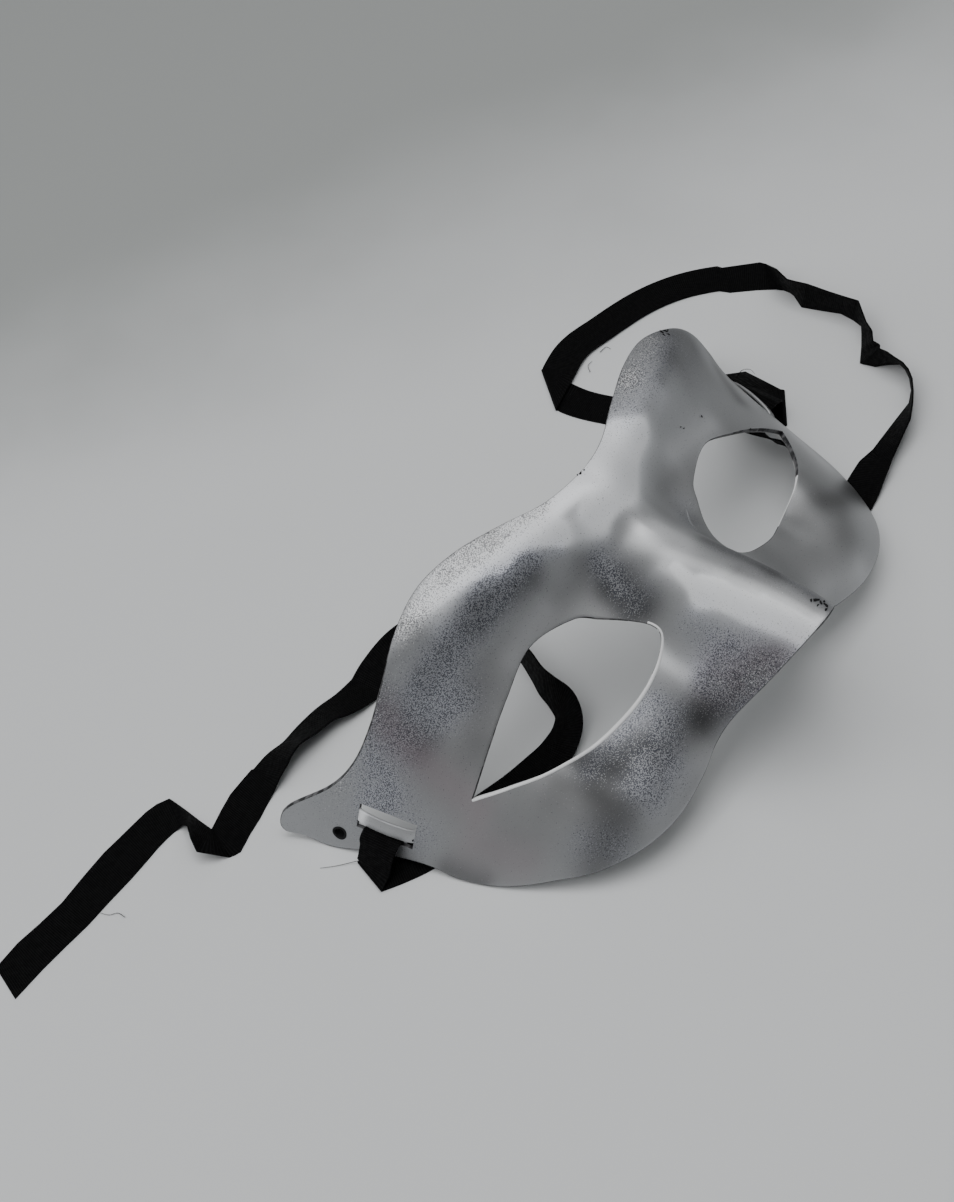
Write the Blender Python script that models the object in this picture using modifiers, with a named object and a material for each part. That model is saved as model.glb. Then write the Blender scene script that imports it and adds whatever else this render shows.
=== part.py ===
"""Half mask: a thin moulded face piece with eye holes, a nose and two ribbon ties, lying face up.

The face is drawn in its own plane (x across, y up the face, z outward), then tipped by
FACE_PITCH and lowered until its rim rests at z = 0. Lengths are in metres.
"""

import math

import bmesh
import bpy
from mathutils import Vector

# Face piece, in the face's own plane
HALF_WIDTH = 0.090       # middle of the nose to the tip of a temple
FACE_HEIGHT = 0.079      # lowest point of a cheek to the top of the brow
WALL = 0.0013
FACE_PITCH = math.radians(27)

# Form of the face over its plane
CROWN_HEIGHT = 0.0508    # middle of the face
TEMPLE_DROP = 0.0632     # how far the tips fall behind the middle
TEMPLE_POWER = 3.0
TEMPLE_TWIST = 0.124     # extra fall of the temples towards the brow
FACE_LEAN = 0.109        # rise towards the brow, per metre of height
BROW_EDGE_RISE = 0.0024
BROW_EDGE_START = 0.020
BROW_EDGE_REACH = 0.030
CHEEK_FALL = 0.0073
CHEEK_REACH = 0.0289

NOSE_TOP = 0.025         # where the bridge starts, up the face
NOSE_LENGTH = 0.0507
BRIDGE_HEIGHT = 0.0044
NOSE_TIP_HEIGHT = 0.0413
BRIDGE_HALF_WIDTH = 0.0091
NOSE_TIP_HALF_WIDTH = 0.0135
BRIDGE_FADE = 0.030
NOSE_POWER = 2.6

BROW_HEIGHT = 0.0077
BROW_UP = 0.0325
BROW_SLOPE = 0.206
BROW_HALF_WIDTH = 0.00965

SOCKET_DEPTH = 0.0092
SOCKET_ACROSS = 0.0376
SOCKET_UP = 0.0012
SOCKET_HALF_WIDTH = 0.0101
SOCKET_HALF_HEIGHT = 0.0131

CHEEK_HEIGHT = 0.0047
CHEEK_ACROSS = 0.0518
CHEEK_UP = -0.0232
CHEEK_RADIUS = 0.0176

# Eye hole
EYE_ACROSS = 0.0398
EYE_UP = 0.00875
EYE_WIDTH = 0.0512
EYE_HEIGHT = 0.0266

# Half outline from the middle of the brow round the temple to the end of the nose.
# Columns: across (share of HALF_WIDTH), up (share of FACE_HEIGHT), row of EYE_RIM that it
# lines up with, faces to the next row.
OUTLINE = [
    (0.000, 0.489, 0.0, 3),
    (0.118, 0.509, 0.2, 3),
    (0.244, 0.567, 0.5, 3),
    (0.372, 0.618, 0.9, 3),
    (0.494, 0.635, 1.6, 3),
    (0.611, 0.600, 2.3, 3),
    (0.706, 0.538, 2.8, 2),
    (0.767, 0.499, 2.95, 2),
    (0.833, 0.478, 3.1, 2),
    (0.894, 0.496, 3.22, 2),
    (0.971, 0.563, 3.38, 2),
    (0.996, 0.562, 3.44, 1),
    (1.000, 0.532, 3.48, 1),
    (0.979, 0.471, 3.58, 2),
    (0.960, 0.385, 3.72, 2),
    (0.9265, 0.292, 3.86, 2),
    (0.898, 0.200, 4.0, 2),
    (0.874, 0.110, 4.25, 2),
    (0.8585, 0.022, 4.55, 2),
    (0.832, -0.061, 4.85, 2),
    (0.792, -0.137, 5.2, 2),
    (0.741, -0.206, 5.6, 3),
    (0.667, -0.289, 6.1, 3),
    (0.563, -0.347, 6.6, 3),
    (0.444, -0.368, 7.1, 3),
    (0.322, -0.348, 7.8, 2),
    (0.250, -0.320, 8.4, 2),
    (0.190, -0.308, 8.8, 3),
    (0.114, -0.319, 9.2, 4),
    (0.000, -0.325, 9.6, 0),
]
MIDDLE_FACES = 16        # faces along the middle line, nose to brow

# Eye rim, from the inner brow side round the outer corner.
# Columns: across (share of EYE_WIDTH), up (share of EYE_HEIGHT), both from the hole's middle.
EYE_RIM = [
    (-0.299, 0.364),
    (-0.084, 0.498),
    (0.131, 0.378),
    (0.322, 0.231),
    (0.500, 0.070),
    (0.393, -0.103),
    (0.240, -0.299),
    (0.027, -0.438),
    (-0.201, -0.502),
    (-0.377, -0.449),
    (-0.480, -0.329),
    (-0.498, -0.186),
    (-0.455, 0.009),
    (-0.383, 0.197),
]
EYE_CORNER_ROW = 4
RINGS = 9                # faces between the eye rim and the outline

# Ribbon slits at each temple, with a raised strip between them
SLIT_ACROSS = 0.870      # share of HALF_WIDTH
SLIT_UP = 0.289          # share of FACE_HEIGHT
SLIT_TURN = math.radians(13)
SLIT_LENGTH = 0.0150
SLIT_GAP = 0.0017
STRIP_WIDTH = 0.0036
STRIP_RISE = 0.0014
STRIP_WALL = 0.0009
STRIP_SET_IN = 0.0002    # depth of the strip's ends under the outer skin
STRIP_TAIL = 0.0014      # length of each end held in the wall
STRIP_FACES = 12

# Punched hole near each tip
PUNCH_ACROSS = 0.934
PUNCH_UP = 0.392
PUNCH_RADIUS = 0.0014
CUT_DEPTH = 0.004

# Ribbons
RIBBON_WIDTH = 0.010
RIBBON_THICK = 0.0006
RIBBON_STEP = 0.0022     # spacing of the ribbon's cross lines

# Left ribbon: from inside the wall out through the lower slit, down over the temple's edge, folded
# back under the mask, out past the brow, and a loose end.
# Columns: x, y of the ribbon's middle and z of its lowest edge in millimetres, degrees that its
# left edge is lifted. Each list runs to the next fold; the fold's own point is in both lists.
LEFT_RIBBON = [
    [
        (-76.15, 25.84, 5.0, -10),
        (-79.55, 25.1, 6.6, -9.2),
        (-80.9, 24.8, 7.2, -8.5),
        (-83.1, 24.5, 6.8, -4),
        (-84.7, 24.5, 4.6, 0),
        (-86.0, 24.5, 2.6, 0),
        (-87.7, 24.5, 1.0, 0),
    ],
    [
        (-87.7, 24.5, 0.1, 0),
        (-82.0, 20.7, 0.05, 0),
        (-76.0, 17.5, 0.05, 0),
        (-68.0, 14.9, 0.05, 0),
        (-59.0, 12.4, 0.05, 0),
        (-50.0, 9.7, 0.05, 0),
        (-43.0, 8.2, 0.1, -2),
        (-36.0, 7.2, 0.15, -10),
        (-30.0, 8.2, 0.15, -28),
        (-25.8, 11.6, 0.15, -52),
        (-24.2, 16.5, 0.15, -70),
        (-22.9, 21.0, 0.15, -76),
        (-20.4, 26.0, 0.15, -80),
        (-17.4, 33.0, 0.15, -85),
        (-15.2, 41.0, 0.15, -86),
        (-17.0, 49.5, 0.15, -84),
        (-23.0, 56.0, 0.15, -70),
        (-31.0, 60.2, 0.15, -42),
        (-39.5, 61.9, 0.1, -14),
        (-46.0, 61.9, 0.1, 2),
        (-52.0, 62.6, 0.15, 13),
        (-58.0, 64.4, 0.15, 24),
        (-64.0, 65.1, 0.15, 28),
        (-70.0, 65.5, 0.15, 36),
        (-75.0, 66.1, 0.15, 24),
        (-79.5, 65.9, 0.15, 18),
        (-85.0, 65.6, 0.15, 12),
        (-92.0, 65.0, 0.1, 2),
        (-102.6, 62.2, 0.05, 0),
    ],
    [
        (-102.6, 62.2, 1.0, 0),
        (-101.4, 70.5, 1.05, -36),
        (-101.2, 75.5, 0.5, -78),
        (-102.6, 80.0, 0.2, -72),
        (-107.0, 82.5, 0.15, -36),
        (-113.0, 81.8, 0.1, -10),
        (-121.0, 81.3, 0.05, 0),
        (-133.0, 81.1, 0.05, 0),
        (-146.0, 81.2, 0.05, 0),
        (-158.6, 81.4, 0.05, 0),
    ],
]

# Right ribbon: a short end outside the temple, folded and in through its slit, along the inside
# of the wall, folded, out past the cheek, round in a wide bend on and off its edge, and folded
# back under the brow.
RIGHT_RIBBON = [
    [
        (88.9, 38.4, 0.1, -37),
        (88.7, 33.6, 0.1, -37),
        (88.4, 30.0, 0.1, -30),
        (88.0, 25.7, 0.1, 0),
    ],
    [
        (88.0, 25.7, 1.0, 0),
        (86.5, 25.5, 3.2, 0),
        (85.0, 25.2, 5.2, -2),
        (83.1, 24.8, 6.9, -4),
        (80.9, 24.8, 7.1, -8.5),
        (79.55, 25.1, 6.6, -9.2),
        (78.0, 25.5, 5.95, -10),
        (74.8, 25.1, 4.9, -22),
        (72.2, 22.6, 3.9, -32),
        (71.3, 19.0, 2.8, -46),
        (71.7, 15.0, 1.5, -54),
        (72.6, 10.6, 0.3, -57),
        (70.9, 5.0, 0.15, -55),
        (68.9, 0.0, 0.3, -48),
        (65.8, -5.0, 1.0, -28),
        (63.4, -9.3, 1.0, -8),
        (61.2, -13.6, 1.0, 0),
    ],
    [
        (61.2, -13.6, 0.05, 0),
        (69.5, -12.8, 0.05, -5),
        (76.0, -11.8, 0.1, -16),
        (83.0, -10.9, 0.15, -27),
        (89.5, -10.6, 0.15, -36),
        (97.5, -9.6, 0.15, -46),
        (103.8, -7.2, 0.15, -66),
        (108.6, -3.6, 0.15, -86),
        (112.4, 1.0, 0.15, -80),
        (114.2, 6.0, 0.15, -44),
        (115.4, 11.0, 0.15, -26),
        (118.6, 15.6, 0.15, -54),
        (122.4, 20.2, 0.15, -62),
        (124.8, 26.0, 0.15, -32),
        (125.0, 34.0, 0.15, -20),
        (124.4, 41.0, 0.15, -28),
        (124.9, 47.5, 0.15, -54),
        (125.8, 53.5, 0.15, -16),
        (123.5, 60.2, 0.15, 0),
        (117.5, 68.4, 0.2, 0),
        (110.0, 75.0, 0.3, 0),
        (100.5, 80.0, 0.4, 0),
        (88.0, 83.6, 0.6, 0),
        (76.0, 85.8, 0.9, 0),
        (61.4, 82.4, 1.0, 0),
    ],
    [
        (61.4, 82.4, 0.05, 0),
        (61.3, 72.5, 0.05, 0),
        (63.2, 63.0, 0.05, 0),
        (66.0, 54.0, 0.05, 0),
        (69.5, 46.0, 0.05, 0),
        (73.0, 39.0, 0.05, 0),
    ],
]

MILLIMETRE = 0.001


def remove_all():
    for item in list(bpy.data.objects):
        bpy.data.objects.remove(item)


def add_collection(name):
    group = bpy.data.collections.new(name)
    bpy.context.scene.collection.children.link(group)
    return group


def make_material(name, colour, roughness, metallic):
    material = bpy.data.materials.new(name)
    material.use_nodes = True
    shader = material.node_tree.nodes["Principled BSDF"]
    shader.inputs["Base Color"].default_value = (*colour, 1.0)
    shader.inputs["Roughness"].default_value = roughness
    shader.inputs["Metallic"].default_value = metallic
    return material


def add_object(name, shape, group, material=None):
    mesh = bpy.data.meshes.new(name)
    shape.to_mesh(mesh)
    shape.free()
    item = bpy.data.objects.new(name, mesh)
    group.objects.link(item)
    if material:
        mesh.materials.append(material)
    return item


def add_cutter(name, shape, group, parent):
    cutter = add_object(name, shape, group)
    cutter.parent = parent
    cutter.hide_render = True
    cutter.display_type = "WIRE"
    return cutter


def bump(distance, reach):
    return math.exp(-((distance / reach) ** 2))


def nose_height(across, up):
    down = (NOSE_TOP - up) / NOSE_LENGTH
    if down < 0:
        rise = BRIDGE_HEIGHT * bump(up - NOSE_TOP, BRIDGE_FADE)
        half_width = BRIDGE_HALF_WIDTH
    else:
        rise = BRIDGE_HEIGHT + (NOSE_TIP_HEIGHT - BRIDGE_HEIGHT) * down
        half_width = BRIDGE_HALF_WIDTH + (NOSE_TIP_HALF_WIDTH - BRIDGE_HALF_WIDTH) * down
    return rise * math.exp(-((across / half_width) ** NOSE_POWER))


def face_height(x, up):
    """Height of the outer skin over the face plane."""
    across = abs(x)
    twist = 1 + TEMPLE_TWIST * up / FACE_HEIGHT
    height = CROWN_HEIGHT - TEMPLE_DROP * (across / HALF_WIDTH) ** TEMPLE_POWER * twist
    height += FACE_LEAN * up
    height += BROW_EDGE_RISE * (max(up - BROW_EDGE_START, 0) / BROW_EDGE_REACH) ** 2
    height -= CHEEK_FALL * (max(-up, 0) / CHEEK_REACH) ** 2
    height += nose_height(across, up)
    height += BROW_HEIGHT * bump(up - BROW_UP - BROW_SLOPE * across, BROW_HALF_WIDTH)
    socket = bump(across - SOCKET_ACROSS, SOCKET_HALF_WIDTH)
    height -= SOCKET_DEPTH * socket * bump(up - SOCKET_UP, SOCKET_HALF_HEIGHT)
    cheek = bump(across - CHEEK_ACROSS, CHEEK_RADIUS)
    height += CHEEK_HEIGHT * cheek * bump(up - CHEEK_UP, CHEEK_RADIUS)
    return height


def face_point(x, up):
    return Vector((x, up, face_height(x, up)))


def face_normal(x, up):
    step = 0.01 * WALL
    along_x = face_point(x + step, up) - face_point(x - step, up)
    along_y = face_point(x, up + step) - face_point(x, up - step)
    return along_x.cross(along_y).normalized()


def spline(before, start, end, after, share):
    """A point on the smooth curve between start and end."""
    square = share * share
    cube = square * share
    return (
        before * (-0.5 * share + square - 0.5 * cube)
        + start * (1 - 2.5 * square + 1.5 * cube)
        + end * (0.5 * share + 2 * square - 1.5 * cube)
        + after * (-0.5 * square + 0.5 * cube)
    )


def eye_point(row):
    """A point of the eye rim at a row of EYE_RIM, which may lie between two rows."""
    count = len(EYE_RIM)
    first = math.floor(row)
    share = row - first
    rows = [Vector(EYE_RIM[(first + shift) % count]) for shift in (-1, 0, 1, 2)]
    if first % count == EYE_CORNER_ROW:
        rows[0] = 2 * rows[1] - rows[2]
    if (first + 1) % count == EYE_CORNER_ROW:
        rows[3] = 2 * rows[2] - rows[1]
    point = spline(*rows, share)
    return Vector((EYE_ACROSS + EYE_WIDTH * point.x, EYE_UP + EYE_HEIGHT * point.y))


def outline_pairs():
    """Matching points of the half outline and the eye rim, all the way round."""
    rows = [Vector((HALF_WIDTH * row[0], FACE_HEIGHT * row[1])) for row in OUTLINE]
    first = Vector((-rows[1].x, rows[1].y))
    last = Vector((-rows[-2].x, rows[-2].y))
    rows = [first] + rows + [last]
    pairs = []
    for index, (_, _, eye_row, faces) in enumerate(OUTLINE[:-1]):
        next_eye_row = OUTLINE[index + 1][2]
        for step in range(faces):
            share = step / faces
            point = spline(*rows[index:index + 4], share)
            pairs.append((point, eye_point(eye_row + (next_eye_row - eye_row) * share)))
    nose_end = rows[-2]
    brow_middle = rows[1]
    eye_row = OUTLINE[-1][2]
    for step in range(MIDDLE_FACES):
        share = step / MIDDLE_FACES
        point = nose_end.lerp(brow_middle, share)
        pairs.append((point, eye_point(eye_row + (len(EYE_RIM) - eye_row) * share)))
    return pairs


def half_face():
    """The right half of the outer skin, open along the middle line."""
    shape = bmesh.new()
    pairs = outline_pairs()
    rings = []
    for ring in range(RINGS + 1):
        points = [eye.lerp(outer, ring / RINGS) for outer, eye in pairs]
        rings.append([shape.verts.new(face_point(point.x, point.y)) for point in points])
    count = len(pairs)
    for inner, outer in zip(rings, rings[1:]):
        for place in range(count):
            follow = (place + 1) % count
            shape.faces.new((inner[place], inner[follow], outer[follow], outer[place]))
    bmesh.ops.recalc_face_normals(shape, faces=shape.faces)
    if sum(face.normal.z for face in shape.faces) < 0:
        bmesh.ops.reverse_faces(shape, faces=shape.faces)
    return shape


def slit_place(side):
    """Middle of the slits on one side, with the directions along, across and out of the wall."""
    x = side * SLIT_ACROSS * HALF_WIDTH
    up = SLIT_UP * FACE_HEIGHT
    out = face_normal(x, up)
    reach = SLIT_LENGTH / 2
    shift = Vector((side * math.sin(SLIT_TURN), math.cos(SLIT_TURN))) * reach
    along = face_point(x + shift.x, up + shift.y) - face_point(x - shift.x, up - shift.y)
    along = (along - along.project(out)).normalized()
    return face_point(x, up), along, out.cross(along), out


def slit_window(side):
    """A block that clears the two slits and the strip's place between them."""
    middle, along, across, out = slit_place(side)
    shape = bmesh.new()
    bmesh.ops.create_cube(shape, size=1)
    width = STRIP_WIDTH + 2 * SLIT_GAP
    for corner in shape.verts:
        place = middle + along * corner.co.x * SLIT_LENGTH
        corner.co = place + across * corner.co.y * width + out * corner.co.z * 2 * CUT_DEPTH
    bmesh.ops.recalc_face_normals(shape, faces=shape.faces)
    return shape


def raised_strip(side):
    """The strip that bridges the window, its ends held inside the wall."""
    middle, along, across, _ = slit_place(side)
    shape = bmesh.new()
    lines = []
    half = SLIT_LENGTH / 2
    for step in range(STRIP_FACES + 1):
        place = (2 * step / STRIP_FACES - 1) * (half + STRIP_TAIL)
        spot = middle + along * place
        skin = face_point(spot.x, spot.y)
        out = face_normal(spot.x, spot.y)
        arch = max(1 - (place / half) ** 2, 0) ** 0.5
        centre = skin + out * (STRIP_RISE * arch - STRIP_SET_IN)
        edge = (across - across.project(out)).normalized() * (STRIP_WIDTH / 2)
        pair = []
        for depth in (0, STRIP_WALL):
            for way in (-1, 1):
                pair.append(shape.verts.new(centre + edge * way - out * depth))
        lines.append(pair)
    for near, far in zip(lines, lines[1:]):
        for first, second in ((0, 1), (1, 3), (3, 2), (2, 0)):
            shape.faces.new((near[first], near[second], far[second], far[first]))
    for end in (lines[0], lines[-1]):
        shape.faces.new((end[0], end[1], end[3], end[2]))
    bmesh.ops.recalc_face_normals(shape, faces=shape.faces)
    return shape


def punch(side):
    """A pin through the wall for the punched hole."""
    x = side * PUNCH_ACROSS * HALF_WIDTH
    up = PUNCH_UP * FACE_HEIGHT
    out = face_normal(x, up)
    shape = bmesh.new()
    bmesh.ops.create_cone(
        shape, cap_ends=True, segments=16, radius1=PUNCH_RADIUS, radius2=PUNCH_RADIUS,
        depth=2 * CUT_DEPTH,
    )
    turn = Vector((0, 0, 1)).rotation_difference(out).to_matrix().to_4x4()
    bmesh.ops.transform(shape, matrix=turn, verts=shape.verts)
    bmesh.ops.translate(shape, vec=face_point(x, up), verts=shape.verts)
    return shape


def add_boolean(item, cutter, operation):
    modifier = item.modifiers.new(cutter.name, "BOOLEAN")
    modifier.operation = operation
    modifier.solver = "EXACT"
    modifier.object = cutter


def rest_on_floor(item):
    """Tips the face and moves it so that its box stands on z = 0 with its middle at x = y = 0."""
    item.rotation_euler.x = FACE_PITCH
    bpy.context.view_layer.update()
    solid = item.evaluated_get(bpy.context.evaluated_depsgraph_get())
    corners = [item.matrix_world @ vertex.co for vertex in solid.data.vertices]
    item.location.y = -(min(c.y for c in corners) + max(c.y for c in corners)) / 2
    item.location.z = -min(c.z for c in corners)


def make_shell(group, cutters, material):
    shell = add_object("mask_shell", half_face(), group, material)
    mirror = shell.modifiers.new("Mirror", "MIRROR")
    mirror.merge_threshold = 0.00005
    solidify = shell.modifiers.new("Wall", "SOLIDIFY")
    solidify.thickness = WALL
    solidify.offset = -1
    for side, word in ((-1, "left"), (1, "right")):
        window = add_cutter("window_" + word, slit_window(side), cutters, shell)
        hole = add_cutter("punch_" + word, punch(side), cutters, shell)
        strip = add_cutter("strip_" + word, raised_strip(side), cutters, shell)
        add_boolean(shell, window, "DIFFERENCE")
        add_boolean(shell, hole, "DIFFERENCE")
        add_boolean(shell, strip, "UNION")
    rest_on_floor(shell)
    return shell


def smooth_run(rows):
    """Points and lifts along one run of a ribbon, a step apart."""
    rows = [Vector(row) for row in rows]
    rows = [2 * rows[0] - rows[1]] + rows + [2 * rows[-1] - rows[-2]]
    points = []
    for index in range(len(rows) - 3):
        start, end = rows[index + 1], rows[index + 2]
        length = (end.xyz - start.xyz).length * MILLIMETRE
        steps = max(round(length / RIBBON_STEP), 1)
        points += [spline(*rows[index:index + 4], step / steps) for step in range(steps)]
    return points + [rows[-2]]


def cross_line(point, ahead, behind):
    """The ribbon's left and right edge points beside one point of its middle."""
    heading = (ahead.xyz - behind.xyz).normalized()
    left = Vector((0, 0, 1)).cross(heading)
    left = left.normalized() if left.length > 0.2 else Vector((-heading.z, 0, heading.x))
    upward = heading.cross(left)
    lift = math.radians(point.w)
    edge = (left * math.cos(lift) + upward * math.sin(lift)) * RIBBON_WIDTH / 2
    middle = point.xyz * MILLIMETRE
    middle.z += abs(edge.z) + RIBBON_THICK / 2
    return middle + edge, middle - edge


def fold_lines(before, fold, fold_after, after):
    """The crossings of one flat fold: into it, round it and out of it."""
    into = (fold - before).xy.normalized()
    out = (after - fold_after).xy.normalized()
    crease = (into + out).normalized()
    reach = RIBBON_WIDTH / 2 / abs(crease.cross(into))
    side = 1 if into.cross(crease) > 0 else -1
    edge = (crease * side * reach).to_3d()
    bulge = (into - out).normalized().to_3d() * RIBBON_THICK
    rise = Vector((0, 0, RIBBON_THICK / 2))
    first = fold.xyz * MILLIMETRE + rise
    last = fold_after.xyz * MILLIMETRE + rise
    spots = (first, (first + last) / 2 + bulge, last)
    return [(spot + edge, spot - edge) for spot in spots], reach * abs(crease.dot(into))


def ribbon_lines(runs):
    """Edge points all along a ribbon; its left and right change places at each fold."""
    lines = []
    clear = 0.0
    for number, run in enumerate(runs):
        points = smooth_run(run)
        crossings = []
        for place, point in enumerate(points):
            ahead = points[min(place + 1, len(points) - 1)]
            behind = points[max(place - 1, 0)]
            crossings.append(cross_line(point, ahead, behind))
        first = 0
        if number:
            start = points[0].xyz
            while (points[first].xyz - start).length * MILLIMETRE < clear + RIBBON_STEP / 2:
                first += 1
        last = len(points)
        creases = []
        if number + 1 < len(runs):
            fold = Vector(run[-1])
            creases, clear = fold_lines(
                Vector(run[-2]), fold, Vector(runs[number + 1][0]), Vector(runs[number + 1][1])
            )
            while (points[last - 1].xyz - fold.xyz).length * MILLIMETRE < clear + RIBBON_STEP / 2:
                last -= 1
        crossings = crossings[first:last] + creases
        if number % 2:
            crossings = [(right, left) for left, right in crossings]
        lines += crossings
    return lines


def make_ribbon(name, runs, group, material):
    shape = bmesh.new()
    rows = [[shape.verts.new(edge) for edge in line] for line in ribbon_lines(runs)]
    for near, far in zip(rows, rows[1:]):
        shape.faces.new((near[0], near[1], far[1], far[0]))
    ribbon = add_object(name, shape, group, material)
    solidify = ribbon.modifiers.new("Thickness", "SOLIDIFY")
    solidify.thickness = RIBBON_THICK
    solidify.offset = 0
    return ribbon


def main():
    remove_all()
    parts = add_collection("half_mask")
    cutters = add_collection("cutters")
    silver = make_material("silver_paint", (0.62, 0.63, 0.65), 0.38, 0.8)
    black = make_material("black_ribbon", (0.012, 0.012, 0.014), 0.8, 0.0)
    make_shell(parts, cutters, silver)
    make_ribbon("ribbon_left", LEFT_RIBBON, parts, black)
    make_ribbon("ribbon_right", RIGHT_RIBBON, parts, black)


main()
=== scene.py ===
"""The half mask's looks: the painted shell, its strips and its two ribbons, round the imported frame."""

import math
import random

import bmesh
import bpy
import numpy as np
from mathutils import Matrix, Vector


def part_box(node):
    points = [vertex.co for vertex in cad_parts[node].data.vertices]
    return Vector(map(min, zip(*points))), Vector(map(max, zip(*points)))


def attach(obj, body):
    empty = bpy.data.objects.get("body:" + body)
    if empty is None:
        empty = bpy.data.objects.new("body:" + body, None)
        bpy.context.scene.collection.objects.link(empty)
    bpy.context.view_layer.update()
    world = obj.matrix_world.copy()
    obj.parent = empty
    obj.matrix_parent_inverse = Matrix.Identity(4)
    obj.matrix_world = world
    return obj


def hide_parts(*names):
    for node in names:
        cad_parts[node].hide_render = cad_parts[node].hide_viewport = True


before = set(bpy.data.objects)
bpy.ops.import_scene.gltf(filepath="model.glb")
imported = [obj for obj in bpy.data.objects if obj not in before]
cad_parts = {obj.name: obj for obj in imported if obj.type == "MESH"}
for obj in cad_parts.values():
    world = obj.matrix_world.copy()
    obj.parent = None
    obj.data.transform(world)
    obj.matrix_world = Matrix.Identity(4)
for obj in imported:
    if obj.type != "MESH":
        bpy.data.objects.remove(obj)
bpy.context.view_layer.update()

MM = 0.001
UP = Vector((0, 0, 1))

# Camera, solved from the photo
CAMERA_AT = Vector((-238.99, -231.96, 440.77)) * MM
CAMERA_RIGHT = Vector((0.60769, -0.7726, -0.18388))
CAMERA_DOWN = Vector((-0.68497, -0.39271, -0.61367))
CAMERA_LENS = 65.90

# The face piece's own plane, as in the part's source
HALF_WIDTH = 0.090
FACE_HEIGHT = 0.079
WALL = 0.0013
FACE_PITCH = math.radians(27)

CROWN_HEIGHT = 0.0508
TEMPLE_DROP = 0.0632
TEMPLE_POWER = 3.0
TEMPLE_TWIST = 0.124
FACE_LEAN = 0.109
BROW_EDGE_RISE = 0.0024
BROW_EDGE_START = 0.020
BROW_EDGE_REACH = 0.030
CHEEK_FALL = 0.0073
CHEEK_REACH = 0.0289

NOSE_TOP = 0.025
NOSE_LENGTH = 0.0507
BRIDGE_HEIGHT = 0.0044
NOSE_TIP_HEIGHT = 0.0413
BRIDGE_HALF_WIDTH = 0.0091
NOSE_TIP_HALF_WIDTH = 0.0135
BRIDGE_FADE = 0.030
NOSE_POWER = 2.6
NOSE_START = 0.07

BROW_HEIGHT = 0.0077
BROW_UP = 0.0325
BROW_SLOPE = 0.206
BROW_HALF_WIDTH = 0.00965

SOCKET_DEPTH = 0.0092
SOCKET_ACROSS = 0.0376
SOCKET_UP = 0.0012
SOCKET_HALF_WIDTH = 0.0101
SOCKET_HALF_HEIGHT = 0.0131

CHEEK_HEIGHT = 0.0047
CHEEK_ACROSS = 0.0518
CHEEK_UP = -0.0232
CHEEK_RADIUS = 0.0176

EYE_ACROSS = 0.0398
EYE_UP = 0.00875
EYE_WIDTH = 0.0512
EYE_HEIGHT = 0.0266

# Columns: across (share of HALF_WIDTH), up (share of FACE_HEIGHT), row of EYE_RIM that it
# lines up with, faces to the next row.
OUTLINE = [
    (0.000, 0.489, 0.0, 3),
    (0.118, 0.509, 0.2, 3),
    (0.244, 0.567, 0.5, 3),
    (0.372, 0.618, 0.9, 3),
    (0.494, 0.635, 1.6, 3),
    (0.611, 0.600, 2.3, 3),
    (0.706, 0.538, 2.8, 2),
    (0.767, 0.499, 2.95, 2),
    (0.833, 0.478, 3.1, 2),
    (0.894, 0.496, 3.22, 2),
    (0.971, 0.563, 3.38, 2),
    (0.996, 0.562, 3.44, 1),
    (1.000, 0.532, 3.48, 1),
    (0.979, 0.471, 3.58, 2),
    (0.960, 0.385, 3.72, 2),
    (0.9265, 0.292, 3.86, 2),
    (0.898, 0.200, 4.0, 2),
    (0.874, 0.110, 4.25, 2),
    (0.8585, 0.022, 4.55, 2),
    (0.832, -0.061, 4.85, 2),
    (0.792, -0.137, 5.2, 2),
    (0.741, -0.206, 5.6, 3),
    (0.667, -0.289, 6.1, 3),
    (0.563, -0.347, 6.6, 3),
    (0.444, -0.368, 7.1, 3),
    (0.322, -0.348, 7.8, 2),
    (0.250, -0.320, 8.4, 2),
    (0.190, -0.308, 8.8, 3),
    (0.114, -0.319, 9.2, 4),
    (0.000, -0.325, 9.6, 0),
]
MIDDLE_FACES = 16
EYE_RIM = [
    (-0.299, 0.364),
    (-0.084, 0.498),
    (0.131, 0.378),
    (0.322, 0.231),
    (0.500, 0.070),
    (0.393, -0.103),
    (0.240, -0.299),
    (0.027, -0.438),
    (-0.201, -0.502),
    (-0.377, -0.449),
    (-0.480, -0.329),
    (-0.498, -0.186),
    (-0.455, 0.009),
    (-0.383, 0.197),
]
EYE_CORNER_ROW = 4
FINER = 4                # times as many faces as the solid, each way
RINGS = 9 * FINER

SLIT_ACROSS = 0.870
SLIT_UP = 0.289
SLIT_TURN = math.radians(13)
SLIT_LENGTH = 0.0150
SLIT_GAP = 0.0017
STRIP_WIDTH = 0.0036
STRIP_RISE = 0.0014
STRIP_WALL = 0.0009
STRIP_SET_IN = 0.0002
STRIP_TAIL = 0.0014
STRIP_FACES = 48
PUNCH_ACROSS = 0.934
PUNCH_UP = 0.392
PUNCH_RADIUS = 0.0014
CUT_DEPTH = 0.004
PUNCH_FACES = 32
PUNCH_STAIN = 0.0025
EDGE_ROUND = 0.0003
EDGE_STEPS = 2
EDGE_ANGLE = 60
SMOOTH_ANGLE = 40
MIRROR_REACH = 0.00002

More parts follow.
